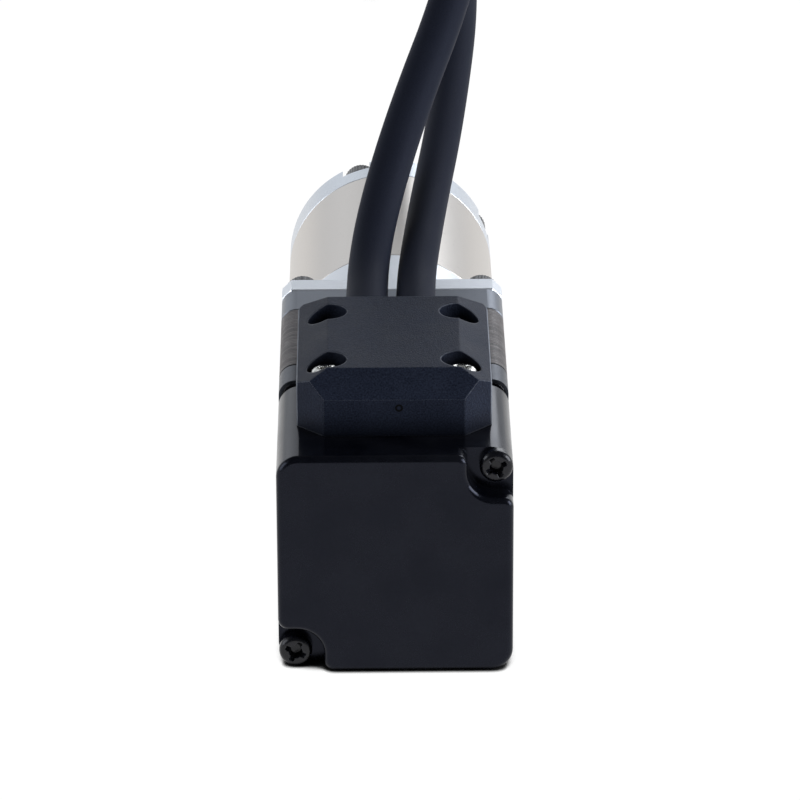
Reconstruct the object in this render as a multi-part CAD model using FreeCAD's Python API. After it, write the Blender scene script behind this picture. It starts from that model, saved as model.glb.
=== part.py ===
import FreeCAD, Part
import math
import os

V = FreeCAD.Vector

# Geared stepper motor with a rear encoder. Sizes are in millimetres.
# The output shaft points along +Y, +Z is up, and the origin is the centre of the
# output mounting face.

# Lengths of the stacked pieces, counted back from the output mounting face
housing_len = 6.1
ring_len = 29.5
boss_len = 9.4
plate_t = 3.5
front_bell_len = 6.4
stator_len = 18.0
rear_bell_len = 5.0
seal_t = 1.7
cover_len = 21.7

# Outlines across the shaft
frame_w = 28.2
frame_corner_r = 2.0
plate_corner = 1.2
plate_edge = 0.3
ring_edge = 0.2
joint_edge = 0.15
gearbox_wall = 4.15
seal_inset = 0.6

# Fits and gaps
run_fit = 0.03
slide_fit = 0.05
thread_gap = 0.02
hole_gap = 0.2
side_gap = 0.3

# Screws: shank radius, head radius, head height
m2_r = 1.0
m2_head_r = 2.0
m2_head_h = 1.6
m25_r = 1.25
m25_head_r = 2.25
m25_head_h = 2.5
m25_key = 2.0
m3_r = 1.5
recess_w = 0.65
recess_reach = 1.35
recess_core_r = 0.85
recess_tip_r = 0.6
recess_depth = 1.1
pan_edge_r = 0.7
cap_chamfer = 0.25

# Output end
shaft_r = 3.0
shaft_out = 20.0
flat_depth = 0.5
flat_len = 15.0
shaft_chamfer = 0.5
pilot_r = 8.0
pilot_h = 2.0
mount_pcd = 21.0
mount_hole_r = 1.25
mount_depth = 5.0
long_screw_clock = -19.8
long_screw_thread = 6.9
head_inset = 0.05
head_notch_r = 2.9
rim_chamfer = 0.4
bush_r = 5.0
bush_len = 5.0
clip_t = 0.6
clip_r = 4.5
clip_groove = 0.4

# Gear train: two planetary stages of the same teeth in one ring
module = 0.4
sun_teeth = 15
planet_teeth = 15
ring_teeth = sun_teeth + 2 * planet_teeth
planet_count = 3
pressure_angle = math.radians(20)
backlash = 0.05
tooth_tip = 1.0 * module
tooth_foot = 1.25 * module
ring_tip = 0.65 * module
flank_steps = 3
planet_1_w = 8.0
planet_2_w = 9.0
carrier_1_t = 2.6
carrier_2_t = 3.0
carrier_rim_gap = 0.5
pin_r = 1.2
sun_hub_r = 4.0
sun_hub_cap = 0.6
washer_t = 0.5
washer_lip = 1.0
ring_bore_gap = 0.1

# Gearbox flange
flange_screw_inset = 2.6
flange_thread = 2.9
flange_head_gap = 0.2
motor_pilot_r = 11.0
motor_pilot_h = 2.0
boss_bore_r = 7.5

# Motor
motor_shaft_r = 2.5
tie_inset = 2.05
tie_head_r = 1.6
tie_head_h = 2.4
tie_head_floor = 0.5
bell_web = 0.5
bearing_r = 5.5
bearing_w = 4.0
bearing_race_r = 4.5
bearing_inner_r = 3.5
ball_r = 0.8
ball_count = 7
wave_t = 0.4
bearing_wall = 1.1
bay_wall = 1.1
winding_bay_depth = 3.2
lead_slot_w = 8.0
rotor_tooth = 0.5
rotor_teeth = 50
rotor_inset = 1.0
magnet_t = 2.0
magnet_inset = 0.4
air_gap = 0.15
pole_count = 8
teeth_per_pole = 5
yoke_step = 1.5
shoe_t = 1.15
neck_w = 2.4
coil_w = 5.8
coil_overhang = 2.4
coil_h = 1.8
coil_yoke_gap = 0.6
coil_shoe_gap = 0.3
insulator_t = 0.6

# Encoder
cover_wall = 1.5
cover_corner_r = 2.7
cover_edge_r = 0.8
pocket_w = 5.5
pocket_inner_r = 3.3
pocket_end_r = 1.3
pocket_depth = 3.0
cover_boss_r = 2.2
cover_boss_h = 2.3
cover_screw_turns = {1: 28.0, -1: 64.0}
wire_slot_w = 10.0
wire_slot_len = 4.0
rear_journal_r = 2.0
disc_gap = 0.5
disc_t = 0.4
hub_r = 4.5
hub_neck_r = 3.2
hub_flange_t = 1.75
board_side_gap = 0.5
board_top_gap = 1.6
board_t = 1.2
pillar_inset = 3.3
pillar_r = 1.5
pillar_len = 7.0
pillar_stud_floor = 0.3
reader_w = 6.0
reader_h = 5.0
reader_t = 2.3
reader_inset = 2.2
header_w = 8.0
header_h = 4.0
header_t = 3.5
header_floor = 1.2

# Cable box
box_w = 23.4
box_top_w = 16.0
box_h = 7.65
box_nose = 6.9
box_brow = 2.15
box_rear = 6.3
box_side_drop = 2.05
box_slope = 2.95
box_corner = 3.3
box_nose_r = 1.8
box_wall = 1.55
post_x = 8.05
post_rear = 5.6
bell_screw_inset = 1.4
post_pocket_r = 2.4
post_wall = 0.7
rear_seat_h = 4.8
front_seat_h = 3.4
box_screw_len = 7.0
rear_post_turn = 30.0
front_post_turn = 10.0

# Cables
motor_cable_r = 2.6
encoder_cable_r = 2.45
cable_pitch = 6.1
cable_height = 3.5
cable_lead = 8.1
grommet_wall = 0.8
collar_wall = 0.9
collar_len = 3.0
bend_share = 0.45

# Connectors
plug_len = 14.0
motor_plug_w = 11.0
motor_plug_h = 8.0
encoder_plug_w = 12.5
encoder_plug_h = 7.0
contact_depth = 7.0
motor_contact_w = 2.6
motor_contact_pitch = 4.2
encoder_contact_w = 1.5
encoder_contact_pitch = 2.5
latch_w = 3.0
latch_h = 1.2

# Places that follow the outline of the frame
half = frame_w / 2
flange_screw_xy = half - flange_screw_inset
tie_xy = half - tie_inset
winding_bay_r = half - bay_wall
yoke_r = winding_bay_r - yoke_step
coil_outer_r = yoke_r - coil_yoke_gap
coil_inner_r = coil_outer_r - coil_h
shoe_r = coil_inner_r - coil_shoe_gap
rotor_r = shoe_r - shoe_t - air_gap
rotor_root_r = rotor_r - rotor_tooth
magnet_r = rotor_root_r - magnet_inset
bell_wall_r = bearing_r + bearing_wall
pocket_edge = half - pocket_w
pillar_x = half - pillar_inset

# Stations along the shaft
y_ring_front = -housing_len
y_ring_rear = y_ring_front - ring_len
y_plate_front = y_ring_rear - boss_len
y_motor = y_plate_front - plate_t
y_stator_front = y_motor - front_bell_len
y_stator_rear = y_stator_front - stator_len
y_bell_rear = y_stator_rear - rear_bell_len
y_cover_front = y_bell_rear - seal_t
y_rear = y_cover_front - cover_len
y_stator_mid = (y_stator_front + y_stator_rear) / 2

# Stations of the gear train
y_planet_1 = y_ring_rear + side_gap
y_carrier_1 = y_planet_1 + planet_1_w + side_gap
y_planet_2 = y_carrier_1 + carrier_1_t + side_gap
y_carrier_2 = y_planet_2 + planet_2_w + side_gap
y_carrier_2_front = y_carrier_2 + carrier_2_t
y_rear_bush = y_carrier_2_front + washer_t
y_sun_face = y_ring_rear - side_gap
y_motor_shaft_end = y_sun_face - sun_hub_cap

# Radii of the gear train
sun_pitch_r = module * sun_teeth / 2
planet_pitch_r = module * planet_teeth / 2
ring_pitch_r = module * ring_teeth / 2
centre_r = sun_pitch_r + planet_pitch_r
carrier_r = ring_pitch_r - ring_tip - carrier_rim_gap
ring_bore_r = ring_pitch_r + tooth_foot + ring_bore_gap
gearbox_r = ring_bore_r + gearbox_wall
long_screw_ring_r = gearbox_r - m25_head_r - head_inset

# Lengths of the screws
head_seat = -m25_head_h - thread_gap
long_screw_len = head_seat - y_ring_rear + long_screw_thread
flange_screw_len = plate_t + flange_thread
tie_depth = front_bell_len - flange_thread - bell_web

# Stations of the motor and the encoder
rotor_len = stator_len - 2 * rotor_inset
y_rotor_rear = y_stator_mid - rotor_len / 2
y_rotor_front = y_stator_mid + rotor_len / 2
y_front_bearing = y_stator_front + side_gap
y_rear_bearing = y_stator_rear - side_gap - bearing_w
y_board_front = y_bell_rear - pillar_len
y_disc_rear = y_board_front + reader_t + 2 * side_gap
y_journal_end = y_board_front + side_gap
disc_r = pillar_x - pillar_r - disc_gap
reader_z = disc_r - reader_inset
pillar_stud = rear_bell_len - winding_bay_depth - pillar_stud_floor
lug = 2 * tie_xy - half - slide_fit
board_w = frame_w - 2 * cover_wall - 2 * board_side_gap
board_h = frame_w - 2 * cover_wall - 2 * board_top_gap
board_corner = (board_w + board_h) / 2 - 2 * lug + 2 * board_side_gap

# Stations of the cable box and the cables
z_floor = -half
z_box_top = half + box_h
y_box_rear = y_rear + box_rear
y_post_rear = y_box_rear + post_rear
y_post_front = y_stator_rear - bell_screw_inset
y_box_front = y_post_front + box_nose
y_box_wall = y_box_front - box_brow
z_rear_seat = half + rear_seat_h
z_front_seat = half + front_seat_h
z_cable = half + cable_height

# Cable routes past the box: side, along and rise of each corner of the path. Along is
# counted from the rear face of the encoder cover, and rise from the cables' outlet.
motor_route = [
    (-2.3, 54.0, 4.8), (1.8, 66.0, 14.9), (8.8, 80.0, 28.4), (12.0, 98.0, 39.4),
    (12.9, 120.0, 42.4), (12.5, 150.0, 34.4), (12.0, 185.0, 17.4), (11.5, 218.0, -5.6),
    (11.0, 244.0, -21.6),
]
encoder_route = [
    (4.4, 60.0, 3.8), (7.5, 80.0, 10.4), (9.9, 102.0, 19.4), (8.8, 126.0, 24.4),
    (4.7, 152.0, 20.4), (0.0, 182.0, 8.4), (-2.0, 212.0, -8.6), (-2.5, 236.0, -21.6),
]
motor_landing = [(11.0, 264.0), (12.0, 281.0)]
encoder_landing = [(-2.5, 256.0), (-3.5, 277.0), (-2.5, 295.0)]
motor_plug_start = 295.0
encoder_plug_start = 311.0


def cyl(r, y0, y1, x=0.0, z=0.0):
    return Part.makeCylinder(r, y1 - y0, V(x, y0, z), V(0, 1, 0))


def post(r, z0, z1, x, y):
    return Part.makeCylinder(r, z1 - z0, V(x, y, z0))


def pipe(r_out, r_in, y0, y1, x=0.0, z=0.0):
    return cyl(r_out, y0, y1, x, z).cut(cyl(r_in, y0, y1, x, z))


def box(x0, x1, y0, y1, z0, z1):
    return Part.makeBox(x1 - x0, y1 - y0, z1 - z0, V(x0, y0, z0))


def polygon(points):
    return Part.Face(Part.makePolygon(points + [points[0]]))


def prism(points, y0, y1):
    """A flat outline of (x, z) points pushed along the shaft."""
    return polygon([V(x, y0, z) for x, z in points]).extrude(V(0, y1 - y0, 0))


def across(points, x0, x1):
    """A flat outline of (y, z) points pushed from side to side."""
    return polygon([V(x0, y, z) for y, z in points]).extrude(V(x1 - x0, 0, 0))


def upright(points, z0, z1):
    """A flat outline of (x, y) points pushed upwards."""
    return polygon([V(x, y, z0) for x, y in points]).extrude(V(0, 0, z1 - z0))


def rounded_prism(corners, y0, y1):
    """An outline of (x, z, radius) corners pushed along the shaft."""
    edges = []
    starts = []
    ends = []
    mids = []
    count = len(corners)
    for i in range(count):
        before, here, after = corners[i - 1], corners[i], corners[(i + 1) % count]
        p = V(here[0], y0, here[1])
        a = (V(before[0], y0, before[1]) - p).normalize()
        b = (V(after[0], y0, after[1]) - p).normalize()
        half_angle = a.getAngle(b) / 2
        reach = here[2] / math.tan(half_angle)
        centre = p + (a + b).normalize() * (here[2] / math.sin(half_angle))
        starts.append(p + a * reach)
        ends.append(p + b * reach)
        mids.append(centre + (p - centre).normalize() * here[2])
    for i in range(count):
        edges.append(Part.Arc(starts[i], mids[i], ends[i]).toShape())
        edges.append(Part.LineSegment(ends[i], starts[(i + 1) % count]).toShape())
    return Part.Face(Part.Wire(edges)).extrude(V(0, y1 - y0, 0))


def square(side_half, r, y0, y1):
    s = side_half
    return rounded_prism([(s, -s, r), (s, s, r), (-s, s, r), (-s, -s, r)], y0, y1)


def four(s):
    return [(s, s), (-s, s), (-s, -s), (s, -s)]


def ring_of(count, r, clock=0.0):
    """Points on a circle, clocked in degrees from straight up towards +X."""
    angles = [math.radians(clock + 360 * k / count) for k in range(count)]
    return [(r * math.sin(a), r * math.cos(a)) for a in angles]


def spot(r, a):
    return (r * math.sin(a), r * math.cos(a))


def hexagon(flats, x, z):
    r = flats / 2 / math.cos(math.pi / 6)
    return [(x + r * math.sin(k * math.pi / 3), z + r * math.cos(k * math.pi / 3)) for k in range(6)]


def edges_near(shape, y):
    """Edges that lie in the plane across the shaft at y."""
    return [e for e in shape.Edges if abs(e.BoundBox.YMin - y) + abs(e.BoundBox.YMax - y) < thread_gap]


def cap_screw(x, z, seat, length):
    """Socket head screw with its head on the +Y side of the seat."""
    head = cyl(m25_head_r, seat, seat + m25_head_h, x, z)
    top = [e for e in head.Edges if e.BoundBox.YMin > seat + m25_head_h / 2]
    head = head.makeChamfer(cap_chamfer, top)
    socket = prism(hexagon(m25_key, x, z), seat + m25_head_h / 2, seat + m25_head_h)
    return head.cut(socket).fuse(cyl(m25_r, seat - length, seat, x, z)).removeSplitter()


def pan_screw(length):
    """Cross recess screw standing on its seat at the origin, head upwards."""
    head = Part.makeCylinder(m2_head_r, m2_head_h)
    top = [e for e in head.Edges if e.BoundBox.ZMin > m2_head_h / 2]
    head = head.makeFillet(pan_edge_r, top)
    reach = recess_reach
    z0 = m2_head_h - recess_depth
    cross = Part.makeBox(2 * reach, recess_w, recess_depth, V(-reach, -recess_w / 2, z0))
    cross = cross.fuse(Part.makeBox(recess_w, 2 * reach, recess_depth, V(-recess_w / 2, -reach, z0)))
    cross = cross.common(Part.makeCone(recess_tip_r, reach, recess_depth, V(0, 0, z0)))
    cross = cross.fuse(Part.makeCone(recess_tip_r, recess_core_r, recess_depth, V(0, 0, z0)))
    shank = Part.makeCylinder(m2_r, length, V(0, 0, -length))
    return head.cut(cross).fuse(shank).removeSplitter()


def rear_screw(x, z, seat, length, turn):
    """Cross recess screw driven from the rear towards the output end."""
    screw = pan_screw(length)
    screw.rotate(V(0, 0, 0), V(0, 0, 1), turn)
    screw.rotate(V(0, 0, 0), V(1, 0, 0), 90)
    screw.translate(V(x, seat, z))
    return screw


def top_screw(x, y, seat, length, turn):
    screw = pan_screw(length)
    screw.rotate(V(0, 0, 0), V(0, 0, 1), turn)
    screw.translate(V(x, y, seat))
    return screw


def involute(angle):
    return math.tan(angle) - angle


def gear_outline(teeth, tip, foot, thin, phase):
    """Involute tooth outline; tip and foot are heights above and below the pitch circle."""
    pitch_r = module * teeth / 2
    base_r = pitch_r * math.cos(pressure_angle)
    tip_r = pitch_r + tip
    root_r = pitch_r - foot
    start_r = max(base_r, root_r)
    pitch_half = (math.pi * module / 2 - thin) / (2 * pitch_r)
    flank = [(root_r, start_r)] if root_r < start_r else []
    for k in range(flank_steps + 1):
        r = start_r + (tip_r - start_r) * k / flank_steps
        flank.append((r, r))
    half_side = []
    for r, r_angle in flank:
        lean = involute(math.acos(min(1.0, base_r / r_angle)))
        half_side.append((r, pitch_half + involute(pressure_angle) - lean))
    points = []
    for k in range(teeth):
        middle = phase + 2 * math.pi * k / teeth
        points += [spot(r, middle - a) for r, a in half_side]
        points += [spot(r, middle + a) for r, a in reversed(half_side)]
    return points


def spur(teeth, y0, y1, x=0.0, z=0.0, phase=0.0):
    outline = gear_outline(teeth, tooth_tip, tooth_foot, backlash, phase)
    return prism([(x + px, z + pz) for px, pz in outline], y0, y1)


def notched_outline(count, tip_r, root_r, phase):
    """Plain square teeth, as wide as the spaces between them."""
    step = 2 * math.pi / count
    points = []
    for k in range(count):
        middle = phase + k * step
        points.append(spot(root_r, middle - step / 4))
        points.append(spot(tip_r, middle - step / 4))
        points.append(spot(tip_r, middle + step / 4))
        points.append(spot(root_r, middle + step / 4))
    return points


def ring_gear():
    ring = cyl(gearbox_r, y_ring_rear, y_ring_front)
    ring = ring.makeChamfer(ring_edge, edges_near(ring, y_ring_rear))
    teeth = prism(gear_outline(ring_teeth, tooth_foot, ring_tip, -backlash, 0.0), y_ring_rear, y_ring_front)
    ring = ring.cut(teeth)
    ring = ring.cut(cyl(ring_bore_r, y_carrier_2 - side_gap, y_ring_front))
    for x, z in ring_of(4, long_screw_ring_r, long_screw_clock):
        ring = ring.cut(cyl(m25_r + hole_gap, y_ring_rear, y_ring_front, x, z))
    return ring


def sun_gear():
    teeth = spur(sun_teeth, y_motor_shaft_end, y_carrier_1 - side_gap)
    hub = cyl(sun_hub_r, y_plate_front, y_sun_face)
    gear = hub.fuse(teeth).removeSplitter()
    return gear.cut(cyl(motor_shaft_r, y_plate_front, y_motor_shaft_end))


def planet(k, y0, y1):
    angle = 2 * math.pi * k / planet_count
    x, z = spot(centre_r, angle)
    gear = spur(planet_teeth, y0, y1, x, z, angle)
    return gear.cut(cyl(pin_r + run_fit, y0, y1, x, z))


def planet_pins(y0, y1):
    return Part.makeCompound([cyl(pin_r, y0, y1, x, z) for x, z in ring_of(planet_count, centre_r)])


def with_pin_holes(shape, y0, y1):
    for x, z in ring_of(planet_count, centre_r):
        shape = shape.cut(cyl(pin_r, y0, y1, x, z))
    return shape


def stage_1_carrier():
    disc = cyl(carrier_r, y_carrier_1, y_carrier_1 + carrier_1_t)
    sun = spur(sun_teeth, y_carrier_1 + carrier_1_t / 2, y_carrier_2 - side_gap)
    disc = with_pin_holes(disc, y_carrier_1, y_carrier_1 + carrier_1_t)
    return disc.fuse(sun).removeSplitter()


def output_shaft():
    disc = cyl(carrier_r, y_carrier_2, y_carrier_2_front)
    disc = with_pin_holes(disc, y_carrier_2, y_carrier_2_front)
    y_flat = shaft_out - flat_len
    groove = pipe(shaft_r, shaft_r - clip_groove, pilot_h + side_gap, pilot_h + side_gap + clip_t)
    journal = disc.fuse(cyl(shaft_r, y_carrier_2_front, y_flat)).removeSplitter().cut(groove)
    end = cyl(shaft_r, y_flat, shaft_out)
    tip = [e for e in end.Edges if e.BoundBox.YMin > shaft_out - shaft_chamfer]
    end = end.makeChamfer(shaft_chamfer, tip)
    end = end.cut(box(-shaft_r, shaft_r, y_flat, shaft_out, shaft_r - flat_depth, shaft_r))
    return journal.fuse(end)


def shaft_clip():
    y0 = pilot_h + side_gap
    clip = pipe(clip_r, shaft_r - clip_groove, y0, y0 + clip_t)
    mouth = shaft_r - clip_groove
    return clip.cut(box(-mouth, mouth, y0, y0 + clip_t, -clip_r, 0))


def output_housing():
    body = cyl(gearbox_r, y_ring_front, 0)
    body = body.makeChamfer(rim_chamfer, edges_near(body, 0))
    body = body.makeChamfer(ring_edge, edges_near(body, y_ring_front))
    body = body.fuse(cyl(ring_bore_r - slide_fit, y_rear_bush, y_ring_front))
    body = body.fuse(cyl(pilot_r, 0, pilot_h)).removeSplitter()
    body = body.cut(cyl(shaft_r + side_gap, y_rear_bush, pilot_h))
    body = body.cut(cyl(bush_r, y_rear_bush, y_rear_bush + bush_len))
    body = body.cut(cyl(bush_r, pilot_h - bush_len, pilot_h))
    for x, z in ring_of(4, long_screw_ring_r, long_screw_clock):
        body = body.cut(cyl(m25_r + hole_gap, y_ring_front, 0, x, z))
        body = body.cut(cyl(head_notch_r, head_seat, pilot_h, x, z))
    for x, z in ring_of(4, mount_pcd / 2, long_screw_clock + 45):
        body = body.cut(cyl(mount_hole_r, -mount_depth, 0, x, z))
    return body


def long_screws():
    spots = ring_of(4, long_screw_ring_r, long_screw_clock)
    return Part.makeCompound([cap_screw(x, z, head_seat, long_screw_len) for x, z in spots])


def gearbox_flange():
    c = plate_corner
    h = half
    outline = [(h - c, h), (-h + c, h), (-h, h - c), (-h, -h + c)]
    outline += [(-h + c, -h), (h - c, -h), (h, -h + c), (h, h - c)]
    flange = prism(outline, y_motor, y_plate_front)
    flange = flange.makeChamfer(plate_edge, edges_near(flange, y_motor))
    flange = flange.fuse(cyl(gearbox_r, y_plate_front, y_ring_rear)).removeSplitter()
    flange = flange.cut(cyl(motor_pilot_r + slide_fit, y_motor, y_motor + motor_pilot_h + hole_gap))
    flange = flange.cut(cyl(boss_bore_r, y_motor, y_ring_rear))
    flange = flange.cut(cyl(ring_bore_r, y_ring_rear - washer_t, y_ring_rear))
    for x, z in four(flange_screw_xy):
        flange = flange.cut(cyl(m25_r + hole_gap, y_motor, y_plate_front, x, z))
        flange = flange.cut(cyl(m25_head_r + flange_head_gap, y_plate_front, y_ring_rear, x, z))
    thread_end = y_ring_rear - long_screw_thread - hole_gap
    for x, z in ring_of(4, long_screw_ring_r, long_screw_clock):
        flange = flange.cut(cyl(m25_r + thread_gap, thread_end, y_ring_rear, x, z))
    return flange


def planet_washer():
    return pipe(ring_bore_r - slide_fit, boss_bore_r - washer_lip, y_ring_rear - washer_t, y_ring_rear)


def flange_screws():
    return Part.makeCompound(
        [cap_screw(x, z, y_plate_front, flange_screw_len) for x, z in four(flange_screw_xy)])


def front_end_bell():
    bell = square(half, frame_corner_r, y_stator_front, y_motor)
    bell = bell.makeChamfer(joint_edge, edges_near(bell, y_stator_front))
    bell = bell.fuse(cyl(motor_pilot_r, y_motor, y_motor + motor_pilot_h)).removeSplitter()
    bay = pipe(winding_bay_r, bell_wall_r, y_stator_front, y_stator_front + winding_bay_depth)
    bell = bell.cut(bay)
    bell = bell.cut(cyl(bearing_r, y_stator_front, y_front_bearing + bearing_w + wave_t))
    bell = bell.cut(cyl(bearing_race_r, y_stator_front, y_motor + motor_pilot_h))
    for x, z in four(flange_screw_xy):
        bell = bell.cut(cyl(m25_r + thread_gap, y_motor - flange_thread - thread_gap, y_motor, x, z))
    for x, z in four(tie_xy):
        bell = bell.cut(cyl(m2_r + thread_gap, y_stator_front, y_stator_front + tie_depth, x, z))
    return bell


def rear_end_bell():
    bell = square(half, frame_corner_r, y_bell_rear, y_stator_rear)
    bell = bell.makeChamfer(joint_edge, edges_near(bell, y_stator_rear))
    bay = pipe(winding_bay_r, bell_wall_r, y_stator_rear - winding_bay_depth, y_stator_rear)
    bell = bell.cut(bay)
    bell = bell.cut(cyl(bearing_r, y_rear_bearing, y_stator_rear))
    bell = bell.cut(cyl(bearing_race_r, y_bell_rear, y_stator_rear))
    bell = bell.cut(box(-lead_slot_w / 2, lead_slot_w / 2, y_stator_rear - winding_bay_depth,
                        y_stator_rear, yoke_r, half))
    for x, z in four(tie_xy):
        bell = bell.cut(cyl(m2_r + hole_gap, y_bell_rear, y_stator_rear, x, z))
        bell = bell.cut(cyl(tie_head_r + slide_fit, y_bell_rear, y_bell_rear + tie_head_h, x, z))
    for x in (-pillar_x, pillar_x):
        bell = bell.cut(cyl(m2_r + thread_gap, y_bell_rear, y_bell_rear + pillar_stud, x, 0))
    thread_end = z_front_seat - box_screw_len - thread_gap
    for x in (-post_x, post_x):
        bell = bell.cut(post(m2_r + thread_gap, thread_end, half, x, y_post_front))
    return bell


def tie_bolts():
    bolts = []
    y_seat = y_bell_rear + tie_head_h
    for x, z in four(tie_xy):
        bolt = cyl(m2_r, y_seat, y_stator_front + tie_depth, x, z)
        bolt = bolt.fuse(cyl(tie_head_r, y_bell_rear, y_seat, x, z)).removeSplitter()
        bolts.append(bolt.cut(cyl(m2_r + thread_gap, y_bell_rear, y_seat - tie_head_floor, x, z)))
    return Part.makeCompound(bolts)


def stator_bore():
    """The open middle of one lamination: eight toothed poles around the rotor."""
    tip_r = rotor_r + air_gap
    root_r = tip_r + rotor_r - rotor_root_r
    step = 2 * math.pi / rotor_teeth
    points = []
    for k in range(pole_count):
        middle = 2 * math.pi * k / pole_count
        shoe_half = step * (teeth_per_pole - 1) / 2 + step / 4
        neck_angle = math.asin(neck_w / 2 / shoe_r)
        yoke_angle = math.asin(neck_w / 2 / yoke_r)
        points.append(spot(yoke_r, middle - yoke_angle))
        points.append(spot(shoe_r, middle - neck_angle))
        points.append(spot(shoe_r, middle - shoe_half))
        for t in range(teeth_per_pole):
            tooth = middle + step * (t - (teeth_per_pole - 1) / 2)
            points.append(spot(tip_r, tooth - step / 4))
            points.append(spot(tip_r, tooth + step / 4))
            if t < teeth_per_pole - 1:
                points.append(spot(root_r, tooth + step / 4))
                points.append(spot(root_r, tooth + 3 * step / 4))
        points.append(spot(shoe_r, middle + shoe_half))
        points.append(spot(shoe_r, middle + neck_angle))
        points.append(spot(yoke_r, middle + yoke_angle))
        points.append(spot(yoke_r, middle + math.pi / pole_count))
    return points


def stator_core():
    core = square(half, frame_corner_r, y_stator_rear, y_stator_front)
    core = core.makeChamfer(joint_edge, edges_near(core, y_stator_rear) + edges_near(core, y_stator_front))
    core = core.cut(prism(stator_bore(), y_stator_rear, y_stator_front))
    for x, z in four(tie_xy):
        core = core.cut(cyl(m2_r + hole_gap, y_stator_rear, y_stator_front, x, z))
    return core


def at_pole(shape, k):
    shape.rotate(V(0, 0, 0), V(0, 1, 0), 360 * k / pole_count)
    return shape


def winding_insulator(y0, y1):
    ring = pipe(winding_bay_r - side_gap, yoke_r, y0, y1)
    for k in range(pole_count):
        pad = box(-neck_w / 2, neck_w / 2, y0, y1, coil_inner_r - side_gap, yoke_r + side_gap)
        ring = ring.fuse(at_pole(pad, k))
    return ring.removeSplitter()


def windings():
    coils = []
    y0 = y_stator_rear - coil_overhang
    y1 = y_stator_front + coil_overhang
    for k in range(pole_count):
        coil = box(-coil_w / 2, coil_w / 2, y0, y1, coil_inner_r, coil_outer_r)
        hole = box(-neck_w / 2, neck_w / 2, y_stator_rear - insulator_t,
                   y_stator_front + insulator_t, coil_inner_r, coil_outer_r)
        coils.append(at_pole(coil.cut(hole), k))
    return Part.makeCompound(coils)


def motor_shaft():
    rod = cyl(motor_shaft_r, y_rear_bearing, y_motor_shaft_end)
    return rod.fuse(cyl(rear_journal_r, y_journal_end, y_rear_bearing)).removeSplitter()


def rotor_cup(y0, y1, hub0, hub1, phase):
    cup = prism(notched_outline(rotor_teeth, rotor_r, rotor_root_r, phase), y0, y1)
    hub = cyl((motor_shaft_r + bearing_inner_r) / 2, hub0, hub1)
    cup = cup.fuse(hub).removeSplitter()
    return cup.cut(cyl(motor_shaft_r, min(y0, hub0), max(y1, hub1)))


def rotor_magnet():
    return pipe(magnet_r, motor_shaft_r, y_stator_mid - magnet_t / 2, y_stator_mid + magnet_t / 2)


def race_groove(y0):
    middle = (bearing_race_r + bearing_inner_r) / 2
    return Part.makeTorus(middle, ball_r + run_fit, V(0, y0 + bearing_w / 2, 0), V(0, 1, 0))


def bearing_outer(y0):
    return pipe(bearing_r, bearing_race_r, y0, y0 + bearing_w).cut(race_groove(y0))


def bearing_inner(y0):
    return pipe(bearing_inner_r, motor_shaft_r, y0, y0 + bearing_w).cut(race_groove(y0))


def bearing_balls(y0):
    middle = (bearing_race_r + bearing_inner_r) / 2
    spots = ring_of(ball_count, middle)
    return Part.makeCompound([Part.makeSphere(ball_r, V(x, y0 + bearing_w / 2, z)) for x, z in spots])


def wave_washer():
    y0 = y_front_bearing + bearing_w
    return pipe(bearing_r - slide_fit, bearing_race_r, y0, y0 + wave_t)


def cover_cavity(y0, y1):
    """Open middle of the cover and the seal, leaving two corners for the screws."""
    inner = half - cover_wall
    cavity = square(inner, cover_corner_r - cover_wall, y0, y1)
    for s in (1, -1):
        cavity = cavity.cut(box(min(s * lug, s * half), max(s * lug, s * half), y0, y1,
                                min(s * lug, s * half), max(s * lug, s * half)))
    return cavity


def encoder_cover():
    h, e, r = half, pocket_edge, cover_corner_r
    corners = []
    for s in (1, -1):
        corners += [(s * h, -s * h, r), (s * h, s * e, pocket_end_r)]
        corners += [(s * e, s * e, pocket_inner_r), (s * e, s * h, pocket_end_r)]
    cover = square(half, cover_corner_r, y_rear + pocket_depth, y_cover_front)
    cover = cover.fuse(rounded_prism(corners, y_rear, y_rear + pocket_depth)).removeSplitter()
    rim = [edge for edge in cover.Edges if edge.BoundBox.YMax < y_rear + cover_edge_r / 2]
    cover = cover.makeFillet(cover_edge_r, rim)
    cavity = cover_cavity(y_rear + cover_wall, y_cover_front)
    keep = e - cover_wall
    for s in (1, -1):
        cavity = cavity.cut(box(min(s * keep, s * h), max(s * keep, s * h), y_rear,
                                y_rear + pocket_depth + cover_wall,
                                min(s * keep, s * h), max(s * keep, s * h)))
    for x in (-post_x, post_x):
        cavity = cavity.cut(post(cover_boss_r, half - cover_wall - cover_boss_h, half, x, y_post_rear))
    cover = cover.cut(cavity)
    for s in (1, -1):
        hole = cyl(m2_r + hole_gap, y_rear, y_cover_front, s * tie_xy, s * tie_xy)
        cover = cover.cut(hole)
    for x in (-post_x, post_x):
        cover = cover.cut(post(m2_r + thread_gap, half - cover_wall - cover_boss_h, half, x, y_post_rear))
    slot_y = y_cover_front - cover_wall - wire_slot_len
    slot = box(-wire_slot_w / 2, wire_slot_w / 2, slot_y, slot_y + wire_slot_len, 0, half)
    return cover.cut(slot)


def cover_screws():
    seat = y_rear + pocket_depth
    length = y_bell_rear + tie_head_h - tie_head_floor - hole_gap - seat
    return Part.makeCompound(
        [rear_screw(s * tie_xy, s * tie_xy, seat, length, cover_screw_turns[s]) for s in (1, -1)])


def cover_seal():
    seal = square(half - seal_inset, cover_corner_r - seal_inset, y_cover_front, y_bell_rear)
    seal = seal.cut(cover_cavity(y_cover_front, y_bell_rear))
    for s in (1, -1):
        seal = seal.cut(cyl(m2_r + hole_gap, y_cover_front, y_bell_rear, s * tie_xy, s * tie_xy))
    return seal


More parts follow.
